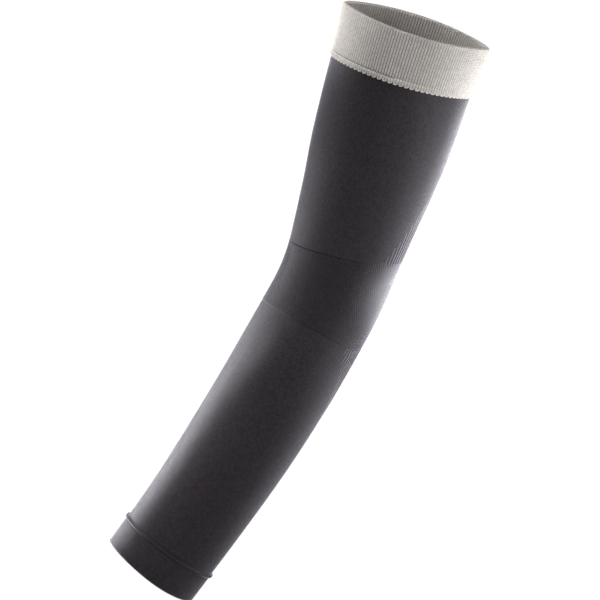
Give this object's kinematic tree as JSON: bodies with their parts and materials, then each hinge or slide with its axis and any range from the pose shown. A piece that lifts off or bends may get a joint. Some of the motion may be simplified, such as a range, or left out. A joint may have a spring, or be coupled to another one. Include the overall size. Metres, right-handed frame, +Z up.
{
  "type": "compression arm sleeve",
  "caption": "Knitted compression sleeve for an arm, with a light ribbed band at the open top, a shaped elbow zone and a turned wrist hem.",
  "frame": {"origin": "middle of the open mouth at the top of the band, where the upper arm goes in", "axes": "+Z up along the upper arm and out of the mouth; the elbow bends in the X-Z plane, with the crook on -X and the elbow point on +X"},
  "size_m": [0.1418, 0.0914, 0.4131],
  "materials": {
    "band_knit": "light warm-grey ribbed knit, matte",
    "seam_yarn": "light warm-grey linking yarn, matte",
    "charcoal_knit": "charcoal fine plain knit with a soft sheen",
    "elbow_knit": "charcoal pebbled tuck knit with a soft sheen",
    "hem_knit": "charcoal plain knit, double at the hem"
  },
  "bodies": {
    "root": {"top_band": "band_knit", "band_seam": "seam_yarn", "upper_arm_tube": "charcoal_knit", "elbow_panel": "elbow_knit", "forearm_tube": "charcoal_knit", "wrist_hem": "hem_knit"}
  },
  "joints": []
}
